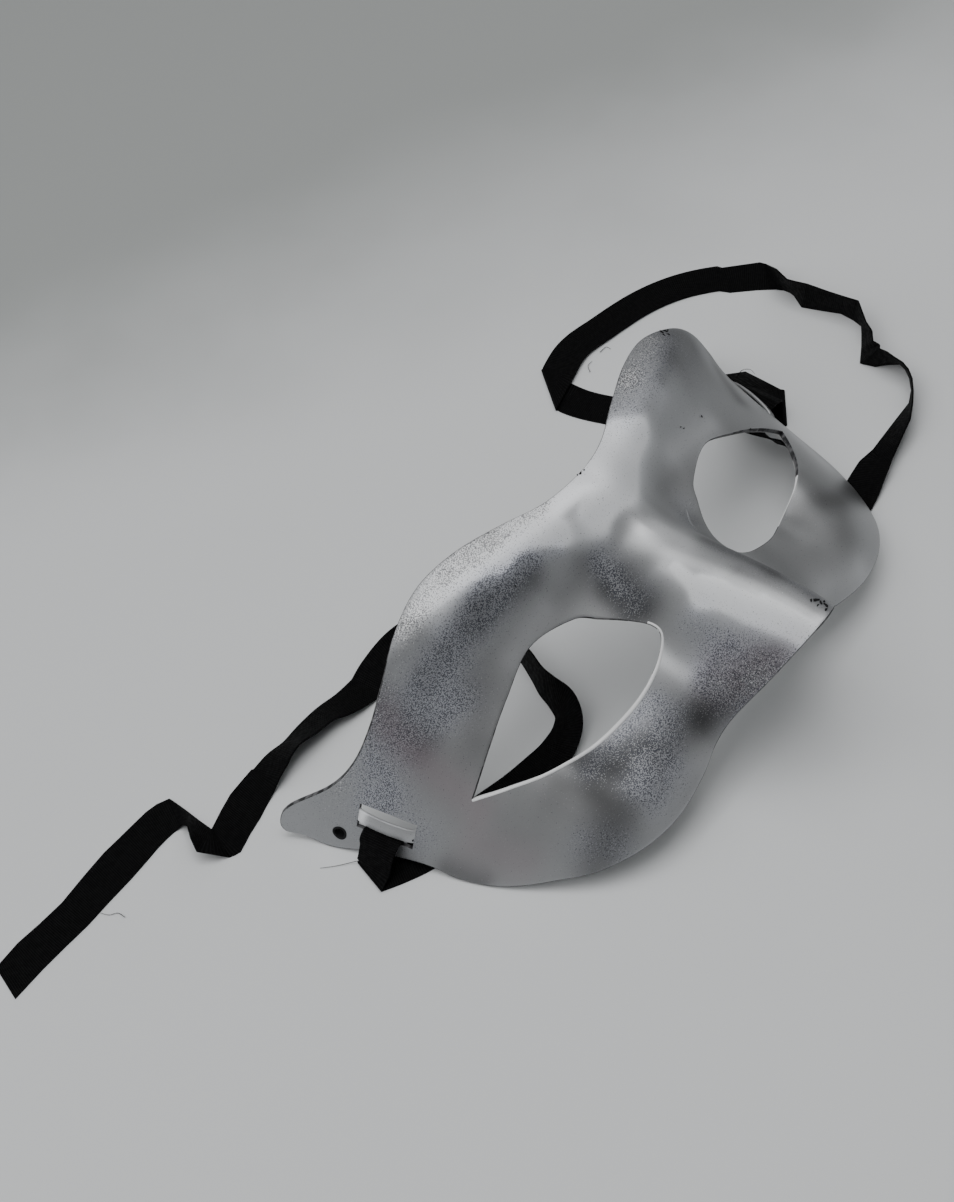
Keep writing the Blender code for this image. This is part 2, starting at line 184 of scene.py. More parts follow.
# Where the ribbons stand on edge, crease and pinch, both their edges are given.
# Columns: x, y, z of the low edge, x, y, z of the high edge (mm).
LEFT_EDGES = [
    (-80.2, 71.2, 0.2, -82.1, 61.4, 1.0),
    (-84.7, 71.1, 0.2, -86.0, 60.7, 0.2),
    (-88.7, 70.9, 0.2, -89.8, 59.6, 0.2),
    (-93.5, 69.7, 0.2, -94.6, 58.7, 0.2),
    (-98.1, 68.3, 0.2, -99.7, 57.3, 0.2),
    (-98.6, 68.2, 0.2, -101.2, 57.9, 0.2),
    (-98.7, 68.1, 0.2, -102.3, 58.6, 0.2),
    (-98.8, 68.1, 0.2, -104.9, 60.8, 3.3),
    (-98.9, 68.2, 0.2, -106.9, 64.0, 4.6),
    (-98.7, 72.6, 0.2, -105.2, 67.2, 5.7),
    (-98.3, 77.6, 0.2, -103.0, 70.4, 5.4),
    (-97.9, 83.8, 0.2, -102.4, 74.9, 1.4),
    (-100.9, 85.5, 0.2, -104.5, 75.9, 0.2),
    (-104.1, 86.3, 0.2, -107.2, 76.2, 0.2),
    (-108.4, 86.6, 0.2, -110.5, 76.3, 0.2),
    (-113.2, 86.9, 0.2, -115.1, 76.1, 0.2),
    (-118.6, 87.3, 0.2, -120.7, 76.0, 0.2),
    (-126.2, 87.0, 0.2, -127.8, 76.2, 0.2),
    (-134.8, 86.4, 0.2, -135.7, 76.2, 0.2),
    (-142.1, 87.0, 0.2, -142.9, 76.8, 0.2),
    (-148.9, 87.9, 0.2, -150.9, 77.3, 0.2),
    (-156.8, 87.7, 0.2, -160.1, 77.4, 0.2),
]
RIGHT_EDGES = [
    (85.2, -7.4, 0.2, 79.9, -15.4, 3.0),
    (97.4, -7.1, 0.2, 93.9, -13.6, 7.1),
    (103.9, -7.0, 0.2, 98.5, -11.5, 7.4),
    (108.3, -5.1, 0.2, 102.6, -9.2, 7.3),
    (111.8, -2.4, 0.2, 106.3, -6.6, 7.5),
    (114.2, 0.4, 0.2, 108.8, -3.9, 7.4),
    (115.1, 2.7, 0.3, 109.9, -1.6, 7.7),
    (113.6, 5.4, 0.2, 109.9, 1.2, 8.6),
    (111.3, 8.2, 0.2, 110.3, 3.5, 9.0),
    (110.5, 12.3, 0.2, 111.1, 6.3, 8.2),
    (113.1, 13.7, 0.2, 112.6, 7.2, 7.8),
    (115.9, 15.2, 0.2, 112.9, 9.5, 7.9),
    (120.3, 17.9, 0.2, 116.5, 12.1, 7.4),
    (122.7, 19.5, 0.2, 118.2, 15.0, 8.0),
    (123.6, 22.8, 0.3, 122.5, 20.0, 9.8),
    (124.2, 27.2, 0.3, 122.3, 24.1, 9.6),
    (122.8, 32.6, 0.2, 122.0, 29.2, 9.6),
    (121.4, 38.3, 0.2, 121.5, 35.9, 10.0),
    (124.3, 42.7, 0.2, 121.3, 40.0, 9.4),
    (124.8, 44.4, 0.2, 121.1, 42.3, 9.3),
    (124.8, 46.5, 0.2, 122.6, 46.8, 10.0),
    (123.1, 50.1, 0.3, 131.2, 56.5, 0.2),
    (121.1, 53.5, 0.2, 130.9, 58.7, 0.2),
    (116.9, 59.5, 0.2, 124.1, 67.2, 0.2),
]

# The short end of the right ribbon, leaning on the temple and folded back over itself.
RIGHT_END_EDGES = [
    (92.9, 38.3, 0.2, 84.9, 38.8, 6.2),
    (92.4, 31.9, 0.2, 83.8, 31.5, 5.3),
    (91.8, 25.2, 0.2, 81.3, 17.6, 0.2),
    (92.0, 25.0, 0.4, 81.5, 17.3, 0.4),
    (91.8, 25.2, 0.6, 81.3, 17.6, 0.6),
    (88.2, 28.0, 3.2, 83.1, 19.0, 3.2),
    (85.0, 30.2, 5.2, 85.0, 20.2, 5.2),
]

# Strokes of paint over the face piece, in its own plane.
# Columns: x and y of one end, x and y of the other (mm), reach (mm), amount.
# In the first table, amounts over 0 are painted highlights and painted reflections, partly bright bare
# silver, and amounts under 0 are painted shade and painted dark reflections, partly dark overspray.
PAINTED_LIGHT_AND_SHADE = [
    (-49, 47, -33, 41, 1.3, 0.55),
    (-33, 41, -14, 37.5, 1.3, 0.55),
    (-14, 37.5, -2, 36, 1.5, 0.58),
    (-48, 41, -30, 38, 2.5, 0.45),
    (-30, 38, -15, 34, 3.0, 0.75),
    (-15, 34, -4, 30, 4.0, 0.52),
    (-4, 30, 6, 31, 5.0, 0.91),
    (6, 31, 18, 35, 4.5, 1.10),
    (18, 35, 32, 38, 3.0, 0.45),
    (3, 28, 1, 10, 4.5, 0.45),
    (-6, 10, -6.5, -2, 2.6, 0.66),
    (-6.5, -2, -5, -26, 2.8, 0.91),
    (-4.8, 8, -6.8, 0, 0.9, 0.50),
    (-6.8, 0, -6.7, -12, 0.9, 0.45),
    (-6.7, -12, -6.2, -26, 0.9, 0.45),
    (-4.8, 2, -3.9, -12, 0.8, 0.35),
    (-3.9, -12, -3.6, -26, 0.8, 0.42),
    (-44, 46, -25, 43, 4.0, 0.73),
    (-20, 41, 8, 40, 3.0, 1.43),
    (0, 38.5, 16, 40, 2.5, 1.06),
    (-18, -2, -17, -10, 3.5, 0.70),
    (-45, -24, -25, -25, 4.0, 0.25),
    (28, -22, 40, -26, 5.0, 0.43),
    (-40, 24, -28, 25, 3.5, 0.34),
    (25, 25, 42, 24, 4.0, 0.46),
    (-15, 31, -7, 25, 2.0, 0.39),
    (-66, 42, -64, 28, 4.0, -0.65),
    (-56, 36, -40, 35.5, 3.5, -0.61),
    (-40, 35.5, -26, 32, 3.5, -0.86),
    (-13, 25, -11, 18, 3.5, -0.31),
    (-13, 16, -14, 9, 4.0, -1.60),
    (-56, 18, -50, 25, 5.0, -0.34),
    (-52, -3, -40, -6, 5.0, -0.85),
    (-48, -10, -36, -13, 5.0, -1.60),
    (-50, -17, -60, -22, 5.0, -0.57),
    (-34, -14, -22, -17, 5.0, -0.62),
    (-20, -19, -12, -22, 4.0, -1.14),
    (5, 6, 4, -10, 3.0, -0.75),
    (4, -10, 4, -22, 3.0, -0.41),
    (-1, -4, -1, -22, 1.8, -0.35),
    (44, -4, 48, -8, 4.0, -0.71),
    (42, -8, 43, -16, 4.0, -0.25),
    (56, 40, 46, 40, 5.0, -0.57),
    (52, 48, 57, 44, 4.0, -0.42),
    (44, 34, 56, 33, 5.0, -0.17),
    (62, 24, 67, 33, 3.0, -0.60),
    (72, 40, 76, 30, 4.0, -0.90),
    (54, -12, 66, -14, 3.5, -0.90),
    (-78, 5, -76, -3, 3.0, -0.63),
    (14, 12, 12, 5, 3.0, -0.29),
    (-30, -6, -40, -7, 4.0, 0.21),
    (68, -2, 72, 8, 5.0, 0.36),
]
GRAIN = [
    (-52, 47, -30, 46, 5.0, 0.95),
    (-30, 45, -14, 41, 4.0, 0.95),
    (-14, 41, 10, 40, 2.2, 0.6),
    (-64, 42, -78, 38, 5.0, 0.6),
    (14, 42, 30, 45, 3.0, 0.5),
    (30, 45, 46, 48, 4.5, 0.7),
    (-14, -16, -11, -26, 4.5, 0.6),
    (-8, 8, -4, -24, 3.0, 0.15),
]
SPECKS = [
    (-56, 35, -36, 36, 4.5, 0.9),
    (-36, 36, -25, 34.5, 3.0, 0.85),
    (-25, 34.5, -17, 31, 2.0, 0.3),
    (-62, 31, -54, 27, 5.0, 0.75),
    (-11, 22, -12.5, 10, 3.2, 0.8),
    (-10, -2, -12, -14, 2.5, 0.4),
    (-14, -15, -12, -26, 5.5, 1.0),
    (-26, -7, -46, -6, 3.5, 0.65),
    (-26, -14, -42, -15, 4.5, 0.65),
    (-42, -21, -34, -20, 5.0, 0.6),
    (-58, -16, -54, -22, 4.5, 0.45),
    (-68, 39, -75, 28, 5.5, 0.6),
    (-75, 28, -76, 14, 4.0, 0.35),
    (4, 4, 4, -24, 3.0, 0.25),
    (20, 41, 50, 45, 5.0, 0.4),
    (11, 11, 16, 16, 3.5, 0.25),
    (-84, 42, 60, 42, 20.0, 0.12),
]
BLUSH = [
    (-66, 38, -66, 8, 3.5, 0.8),
    (-71, 4, -68, -8, 4.0, 0.6),
    (-10, -24, -14, -14, 4.5, 0.7),
]
# Painted highlight over the left strip, with a small bright spot near one end.
LEFT_STRIP_HIGHLIGHT = [
    (-80, 36, -78, 10, 8.0, 0.30),
    (-81.5, 32, -80.5, 29.0, 1.6, 0.80),
]
# Painted shade over the right strip.
RIGHT_STRIP_SHADE = [
    (76, 36, 82, 16, 9.0, -0.55),
]
PAINT_TONE = 0.404
PAINT_BRIGHTEST = 0.95

# Places in the shell's list of materials.
PAINT, EDGE, INSIDE, DARK_EDGE, BLACK = range(5)
EYE_EDGE_ACROSS = 0.56   # share of EYE_WIDTH within which an edge is the eye's
EYE_EDGE_UP = 0.60       # share of EYE_HEIGHT
RIGHT_BARE = (0.036, 0.051)
BARE_FACING = 0.1

# Bits of dark paint standing off the skin: x, up, half length, half width (mm), turn (degrees).
FLAKES = [
    (51.0, 48.1, 0.8, 0.35, 80),
    (52.3, 47.5, 0.7, 0.3, 100),
    (50.2, 47.0, 0.45, 0.2, 60),
    (51.5, 46.3, 0.5, 0.2, 95),
    (53.2, 47.3, 0.4, 0.2, 20),
    (-0.8, 38.3, 0.6, 0.35, 10),
    (-1.6, 38.6, 0.3, 0.2, 50),
    (0.4, 38.2, 0.25, 0.2, 0),
    (1.2, -20.6, 0.5, 0.25, 30),
    (2.0, -21.4, 0.9, 0.4, -30),
    (2.2, -22.6, 0.6, 0.3, 40),
    (1.0, -22.4, 0.4, 0.2, 0),
    (2.4, -23.8, 0.8, 0.35, 60),
    (1.2, -24.4, 0.5, 0.3, 10),
    (3.2, -23.0, 0.5, 0.3, 0),
    (52.4, 16.6, 0.5, 0.25, 0),
    (32.8, 28.2, 0.22, 0.14, 0),
    (32.1, 28.9, 0.2, 0.14, 30),
    (41.2, 27.2, 0.3, 0.15, 90),
    (-30.1, 33.1, 0.25, 0.15, 0),
    (-77.2, 15.9, 0.5, 0.35, 30),
]
FLAKE_THICK = 0.00012
FLAKE_SIDES = 9
FLAKE_SEED = 4
FLAKE_REACH = (0.55, 1.15)
FLAKE_TOP = (0.6, 2.0)
FLAKE_PEAK = 2.5

# Loose threads of the ribbons (mm).
LEFT_THREADS = [
    [(-85.8, 28.1, 2.0), (-86.8, 30.4, 0.8), (-88.6, 32.4, 0.4), (-90.6, 34.5, 0.3), (-92.7, 37.0, 0.3)],
    [(-129.1, 69.6, 0.4), (-129.2, 72.0, 0.3), (-130.8, 73.6, 0.3), (-131.6, 75.9, 0.3)],
]
RIGHT_THREADS = [
    [(80.0, 78.8, 0.4), (82.5, 78.5, 0.3), (82.5, 76.8, 0.3)],
    [(83.7, 33.8, 9.0), (86.4, 34.0, 9.0), (87.7, 32.3, 9.0), (86.9, 30.1, 9.0)],
    [(72.4, 76.7, 0.4), (74.1, 78.7, 0.3), (76.2, 78.8, 0.3)],
]
THREAD_RADIUS = 0.00009
THREAD_SIDES = 6
THREAD_STEPS = 8

# Beads: half width, half height.
BEAD_SIDES = 10
RIM_BEAD = (0.00055, 0.00035)
LIP_BEAD = (0.0007, 0.00035)
PUNCH_BEAD = (0.00028, 0.0002)
BEAD_LEAST = 0.3         # share of its size at the ends
BEAD_POWER = 0.6
RIM_ROWS = 7.2           # rows of EYE_RIM from the corner
RIM_STEPS = 120
RIM_LOOK = 0.02          # rows of EYE_RIM ahead
RIM_SET_OUT = 0.7        # share of the bead's half width
LIP = [(17.4, 16.4), (15.4, 14.0), (13.4, 11.8), (12.0, 9.6), (11.2, 6.5)]
LIP_STEPS = 10
LIP_SINK = 0.00015
COLLAR_DEPTH = 0.0018
COLLAR_WALL = 0.0003
COLLAR_FOOT = 0.0004

RIBBON_WIDTH = 0.010
RIBBON_THICK = 0.00045
RIBBON_STEP = 0.0005
RIBBON_FACES = 12
LEFT_EXIT = (-0.07955, 0.0251, 0.0075)
RIGHT_EXIT = (0.0809, 0.0248, 0.0082)
FOLD_STEPS = 8
STEEP = 0.2              # sine under which a heading counts as upright
LINES_BEFORE = 3         # crossings dropped before a table of edges
LINES_AFTER = 4          # and after it

# The ribbons' routes, as in the part's source. Columns: x, y of the ribbon's middle and z of its
# lowest edge in millimetres, degrees that its left edge is lifted. One list up to each fold.
LEFT_RIBBON = [
    [
        (-76.15, 25.84, 5.0, -10),
        (-79.55, 25.1, 6.6, -9.2),
        (-80.9, 24.8, 7.2, -8.5),
        (-83.1, 24.5, 6.8, -4),
        (-84.7, 24.5, 4.6, 0),
        (-86.0, 24.5, 2.6, 0),
        (-87.7, 24.5, 1.0, 0),
    ],
    [
        (-87.7, 24.5, 0.1, 0),
        (-82.0, 20.7, 0.05, 0),
        (-76.0, 17.5, 0.05, 0),
        (-68.0, 14.9, 0.05, 0),
        (-59.0, 12.4, 0.05, 0),
        (-50.0, 9.7, 0.05, 0),
        (-43.0, 8.2, 0.1, -2),
        (-36.0, 7.2, 0.15, -10),
        (-30.0, 8.2, 0.15, -28),
        (-25.8, 11.6, 0.15, -52),
        (-24.2, 16.5, 0.15, -70),
        (-22.9, 21.0, 0.15, -76),
        (-20.4, 26.0, 0.15, -80),
        (-17.4, 33.0, 0.15, -85),
        (-15.2, 41.0, 0.15, -86),
        (-17.0, 49.5, 0.15, -84),
        (-23.0, 56.0, 0.15, -70),
        (-31.0, 60.2, 0.15, -42),
        (-39.5, 61.9, 0.1, -14),
        (-46.0, 61.9, 0.1, 2),
        (-52.0, 62.6, 0.15, 13),
        (-58.0, 64.4, 0.15, 24),
        (-64.0, 65.1, 0.15, 28),
        (-70.0, 65.5, 0.15, 36),
        (-75.0, 66.1, 0.15, 24),
        (-79.5, 65.9, 0.15, 18),
        (-85.0, 65.6, 0.15, 12),
        (-92.0, 65.0, 0.1, 2),
        (-102.6, 62.2, 0.05, 0),
    ],
    [
        (-102.6, 62.2, 1.0, 0),
        (-101.4, 70.5, 1.05, -36),
        (-101.2, 75.5, 0.5, -78),
        (-102.6, 80.0, 0.2, -72),
        (-107.0, 82.5, 0.15, -36),
        (-113.0, 81.8, 0.1, -10),
        (-121.0, 81.3, 0.05, 0),
        (-133.0, 81.1, 0.05, 0),
        (-146.0, 81.2, 0.05, 0),
        (-158.6, 81.4, 0.05, 0),
    ],
]
RIGHT_RIBBON = [
    [
        (88.9, 38.4, 0.1, -37),
        (88.7, 33.6, 0.1, -37),
        (88.4, 30.0, 0.1, -30),
        (88.0, 25.7, 0.1, 0),
    ],
    [
        (88.0, 25.7, 1.0, 0),
        (86.5, 25.5, 3.2, 0),
        (85.0, 25.2, 5.2, -2),
        (83.1, 24.8, 6.9, -4),
        (80.9, 24.8, 7.1, -8.5),
        (79.55, 25.1, 6.6, -9.2),
        (78.0, 25.5, 5.95, -10),
        (74.8, 25.1, 4.9, -22),
        (72.2, 22.6, 3.9, -32),
        (71.3, 19.0, 2.8, -46),
        (71.7, 15.0, 1.5, -54),
        (72.6, 10.6, 0.3, -57),
        (70.9, 5.0, 0.15, -55),
        (68.9, 0.0, 0.3, -48),
        (65.8, -5.0, 1.0, -28),
        (63.4, -9.3, 1.0, -8),
        (61.2, -13.6, 1.0, 0),
    ],
    [
        (61.2, -13.6, 0.05, 0),
        (69.5, -12.8, 0.05, -5),
        (76.0, -11.8, 0.1, -16),
        (83.0, -10.9, 0.15, -27),
        (89.5, -10.6, 0.15, -36),
        (97.5, -9.6, 0.15, -46),
        (103.8, -7.2, 0.15, -66),
        (108.6, -3.6, 0.15, -86),
        (112.4, 1.0, 0.15, -80),
        (114.2, 6.0, 0.15, -44),
        (115.4, 11.0, 0.15, -26),
        (118.6, 15.6, 0.15, -54),
        (122.4, 20.2, 0.15, -62),
        (124.8, 26.0, 0.15, -32),
        (125.0, 34.0, 0.15, -20),
        (124.4, 41.0, 0.15, -28),
        (124.9, 47.5, 0.15, -54),
        (125.8, 53.5, 0.15, -16),
        (123.5, 60.2, 0.15, 0),
        (117.5, 68.4, 0.2, 0),
        (110.0, 75.0, 0.3, 0),
        (100.5, 80.0, 0.4, 0),
        (88.0, 83.6, 0.6, 0),
        (76.0, 85.8, 0.9, 0),
        (61.4, 82.4, 1.0, 0),
    ],
    [
        (61.4, 82.4, 0.05, 0),
        (61.3, 72.5, 0.05, 0),
        (63.2, 63.0, 0.05, 0),
        (66.0, 54.0, 0.05, 0),
        (69.5, 46.0, 0.05, 0),
        (73.0, 39.0, 0.05, 0),
    ],
]


def add_object(name, shape):
    mesh = bpy.data.meshes.new(name)
    shape.to_mesh(mesh)
    shape.free()
    item = bpy.data.objects.new(name, mesh)
    bpy.context.scene.collection.objects.link(item)
    return item


def add_camera():
    look = CAMERA_DOWN.cross(-CAMERA_RIGHT).normalized()
    down = look.cross(CAMERA_RIGHT).normalized()
    turn = Matrix((CAMERA_RIGHT, -down, -look)).transposed().to_4x4()
    camera = bpy.data.objects.new("camera", bpy.data.cameras.new("camera"))
    camera.data.lens = CAMERA_LENS
    camera.data.clip_start = 0.05
    camera.data.clip_end = 20
    camera.matrix_world = Matrix.Translation(CAMERA_AT) @ turn
    bpy.context.scene.collection.objects.link(camera)
    bpy.context.scene.camera = camera


def add_band(shape, near, far):
    """Faces between two closed rings of vertices."""
    count = len(near)
    for step in range(count):
        after = (step + 1) % count
        shape.faces.new((near[step], near[after], far[after], far[step]))


def add_ring(shape, centre, first, second, count):
    """A ring of vertices; first and second are the arms of its circle or ellipse."""
    ring = []
    for step in range(count):
        turn = 2 * math.pi * step / count
        ring.append(shape.verts.new(centre + first * math.cos(turn) + second * math.sin(turn)))
    return ring


def cross_arms(out):
    """Two arms square to out and to each other."""
    first = out.orthogonal().normalized()
    return first, out.cross(first)


# Form of the face piece


def bump(distance, reach):
    return math.exp(-((distance / reach) ** 2))


def nose_height(across, up):
    down = (NOSE_TOP - up) / NOSE_LENGTH
    down = NOSE_START * math.log1p(math.exp(down / NOSE_START))
    rise = BRIDGE_HEIGHT * bump(max(up - NOSE_TOP, 0), BRIDGE_FADE)
    rise += (NOSE_TIP_HEIGHT - BRIDGE_HEIGHT) * down
    half_width = BRIDGE_HALF_WIDTH + (NOSE_TIP_HALF_WIDTH - BRIDGE_HALF_WIDTH) * down
    return rise * math.exp(-((across / half_width) ** NOSE_POWER))


def face_height(x, up):
    """Height of the outer skin over the face plane."""
    across = abs(x)
    twist = 1 + TEMPLE_TWIST * up / FACE_HEIGHT
    height = CROWN_HEIGHT - TEMPLE_DROP * (across / HALF_WIDTH) ** TEMPLE_POWER * twist
    height += FACE_LEAN * up
    height += BROW_EDGE_RISE * (max(up - BROW_EDGE_START, 0) / BROW_EDGE_REACH) ** 2
    height -= CHEEK_FALL * (max(-up, 0) / CHEEK_REACH) ** 2
    height += nose_height(across, up)
    height += BROW_HEIGHT * bump(up - BROW_UP - BROW_SLOPE * across, BROW_HALF_WIDTH)
    socket = bump(across - SOCKET_ACROSS, SOCKET_HALF_WIDTH)
    height -= SOCKET_DEPTH * socket * bump(up - SOCKET_UP, SOCKET_HALF_HEIGHT)
    cheek = bump(across - CHEEK_ACROSS, CHEEK_RADIUS)
    height += CHEEK_HEIGHT * cheek * bump(up - CHEEK_UP, CHEEK_RADIUS)
    return height


def face_point(x, up):
    return Vector((x, up, face_height(x, up)))


def face_normal(x, up):
    step = 0.01 * WALL
    along_x = face_point(x + step, up) - face_point(x - step, up)
    along_y = face_point(x, up + step) - face_point(x, up - step)
    return along_x.cross(along_y).normalized()


def spline(before, start, end, after, share):
    """A point on the smooth curve between start and end."""
    square = share ** 2
    cube = share ** 3
    return (
        before * (-0.5 * share + square - 0.5 * cube)
        + start * (1 - 2.5 * square + 1.5 * cube)
        + end * (0.5 * share + 2 * square - 1.5 * cube)
        + after * (-0.5 * square + 0.5 * cube)
    )


def eye_point(row):
    count = len(EYE_RIM)
    first = math.floor(row)
    share = row - first
    rows = [Vector(EYE_RIM[(first + shift) % count]) for shift in (-1, 0, 1, 2)]
    if first % count == EYE_CORNER_ROW:
        rows[0] = 2 * rows[1] - rows[2]
    if (first + 1) % count == EYE_CORNER_ROW:
        rows[3] = 2 * rows[2] - rows[1]
    point = spline(*rows, share)
    return Vector((EYE_ACROSS + EYE_WIDTH * point.x, EYE_UP + EYE_HEIGHT * point.y))


def outline_pairs():
    rows = [Vector((HALF_WIDTH * row[0], FACE_HEIGHT * row[1])) for row in OUTLINE]
    first = Vector((-rows[1].x, rows[1].y))
    last = Vector((-rows[-2].x, rows[-2].y))
    rows = [first] + rows + [last]
    pairs = []
    for index, (_, _, eye_row, faces) in enumerate(OUTLINE[:-1]):
        next_eye_row = OUTLINE[index + 1][2]
        steps = faces * FINER
        for step in range(steps):
            share = step / steps
            point = spline(*rows[index:index + 4], share)
            pairs.append((point, eye_point(eye_row + (next_eye_row - eye_row) * share)))
    nose_end = rows[-2]
    brow_middle = rows[1]
    eye_row = OUTLINE[-1][2]
    steps = MIDDLE_FACES * FINER
    for step in range(steps):
        share = step / steps
        point = nose_end.lerp(brow_middle, share)
        pairs.append((point, eye_point(eye_row + (len(EYE_RIM) - eye_row) * share)))
    return pairs


def half_face():
    shape = bmesh.new()
    pairs = outline_pairs()
    rings = []
    for ring in range(RINGS + 1):
        points = [eye.lerp(outer, ring / RINGS) for outer, eye in pairs]
        rings.append([shape.verts.new(face_point(point.x, point.y)) for point in points])
    count = len(pairs)
    for inner, outer in zip(rings, rings[1:]):
        for place in range(count):
            follow = (place + 1) % count
            shape.faces.new((inner[place], inner[follow], outer[follow], outer[place]))
    bmesh.ops.recalc_face_normals(shape, faces=shape.faces)
    if sum(face.normal.z for face in shape.faces) < 0:
        bmesh.ops.reverse_faces(shape, faces=shape.faces)
    return shape


def slit_place(side):
    x = side * SLIT_ACROSS * HALF_WIDTH
    up = SLIT_UP * FACE_HEIGHT
    out = face_normal(x, up)
    reach = SLIT_LENGTH / 2
    shift = Vector((side * math.sin(SLIT_TURN), math.cos(SLIT_TURN))) * reach
    along = face_point(x + shift.x, up + shift.y) - face_point(x - shift.x, up - shift.y)
    along = (along - along.project(out)).normalized()
    return face_point(x, up), along, out.cross(along), out


def slit_window(side):
    middle, along, across, out = slit_place(side)
    shape = bmesh.new()
    bmesh.ops.create_cube(shape, size=1)
    width = STRIP_WIDTH + 2 * SLIT_GAP
    for corner in shape.verts:
        place = middle + along * corner.co.x * SLIT_LENGTH
        corner.co = place + across * corner.co.y * width + out * corner.co.z * 2 * CUT_DEPTH
    bmesh.ops.recalc_face_normals(shape, faces=shape.faces)
    return shape


def raised_strip(side):
    middle, along, across, _ = slit_place(side)
    shape = bmesh.new()
    lines = []
    half = SLIT_LENGTH / 2
    for step in range(STRIP_FACES + 1):
        place = (2 * step / STRIP_FACES - 1) * (half + STRIP_TAIL)
        spot = middle + along * place
        skin = face_point(spot.x, spot.y)
        out = face_normal(spot.x, spot.y)
        arch = max(1 - (place / half) ** 2, 0) ** 0.5
        centre = skin + out * (STRIP_RISE * arch - STRIP_SET_IN)
        edge = (across - across.project(out)).normalized() * (STRIP_WIDTH / 2)
        pair = []
        for depth in (0, STRIP_WALL):
            for way in (-1, 1):
                pair.append(shape.verts.new(centre + edge * way - out * depth))
        lines.append(pair)
    for near, far in zip(lines, lines[1:]):
        for first, second in ((0, 1), (1, 3), (3, 2), (2, 0)):
            shape.faces.new((near[first], near[second], far[second], far[first]))
    for end in (lines[0], lines[-1]):
        shape.faces.new((end[0], end[1], end[3], end[2]))
    bmesh.ops.recalc_face_normals(shape, faces=shape.faces)
    return shape


def punch_place(side):
    return side * PUNCH_ACROSS * HALF_WIDTH, PUNCH_UP * FACE_HEIGHT


def punch(side):
    x, up = punch_place(side)
    out = face_normal(x, up)
    shape = bmesh.new()
    bmesh.ops.create_cone(
        shape, cap_ends=True, segments=PUNCH_FACES, radius1=PUNCH_RADIUS,
        radius2=PUNCH_RADIUS, depth=2 * CUT_DEPTH,
    )
    turn = UP.rotation_difference(out).to_matrix().to_4x4()
    bmesh.ops.transform(shape, matrix=turn, verts=shape.verts)
    bmesh.ops.translate(shape, vec=face_point(x, up), verts=shape.verts)
    return shape


def bake_modifiers(item):
    """Puts the result of an object's modifiers in its mesh."""
    solid = item.evaluated_get(bpy.context.evaluated_depsgraph_get())
    mesh = bpy.data.meshes.new_from_object(solid)
    item.modifiers.clear()
    item.data = mesh


def round_edges(item):
    bevel = item.modifiers.new("Edges", "BEVEL")
    bevel.width = EDGE_ROUND
    bevel.segments = EDGE_STEPS
    bevel.limit_method = "ANGLE"
    return bevel


def make_shell(materials):
    shell = add_object("shell", half_face())
    for material in materials:
        shell.data.materials.append(material)
    mirror = shell.modifiers.new("Mirror", "MIRROR")
    mirror.merge_threshold = MIRROR_REACH
    solidify = shell.modifiers.new("Wall", "SOLIDIFY")
    solidify.thickness = WALL
    solidify.offset = -1
    solidify.material_offset = INSIDE
    solidify.material_offset_rim = EDGE
    bevel = round_edges(shell)
    bevel.angle_limit = math.radians(EDGE_ANGLE)
    bevel.material = DARK_EDGE
    cutters = []
    for side in (-1, 1):
        for shape in (slit_window(side), punch(side)):
            cutter = add_object("cutter", shape)
            for material in materials:
                cutter.data.materials.append(material)
            for face in cutter.data.polygons:
                face.material_index = EDGE
            cutters.append(cutter)
            modifier = shell.modifiers.new("Cut", "BOOLEAN")
            modifier.operation = "DIFFERENCE"
            modifier.solver = "EXACT"
            modifier.object = cutter
    bpy.context.view_layer.update()
    bake_modifiers(shell)
    for cutter in cutters:
        bpy.data.objects.remove(cutter)
    sort_edges(shell)
    strips = []
    for side, word in ((-1, "left"), (1, "right")):
        strip = add_object("strip_" + word, raised_strip(side))
        strip.data.materials.append(materials[PAINT])
        round_edges(strip)
        bpy.context.view_layer.update()
        bake_modifiers(strip)
        strip.parent = shell
        strips.append(strip)
    mark_paint(shell)
    mark_paint(strips[0], LEFT_STRIP_HIGHLIGHT, speckled=False)
    mark_paint(strips[1], RIGHT_STRIP_SHADE, speckled=False)
    trims = make_trims(shell, materials)
    seat([shell] + strips + trims)
    return shell, strips + trims


def sort_edges(shell):
    """Bare plastic on the eyes' lower sides, black round the left hole, near-black on the rest."""
    punch_x, punch_up = punch_place(-1)
    for face in shell.data.polygons:
        if face.material_index not in (EDGE, DARK_EDGE):
            continue
        spot = face.center
        near_eye = ((abs(spot.x) - EYE_ACROSS) / (EYE_EDGE_ACROSS * EYE_WIDTH)) ** 2
        near_eye += ((spot.y - EYE_UP) / (EYE_EDGE_UP * EYE_HEIGHT)) ** 2
        bare = spot.x < 0 or RIGHT_BARE[0] < spot.x < RIGHT_BARE[1]
        if near_eye < 1 and face.normal.y > BARE_FACING and bare:
            face.material_index = EDGE
        elif math.hypot(spot.x - punch_x, spot.y - punch_up) < PUNCH_STAIN:
            face.material_index = BLACK
        elif face.material_index == DARK_EDGE and face.normal.z < 0:
            face.material_index = INSIDE
        else:
            face.material_index = DARK_EDGE


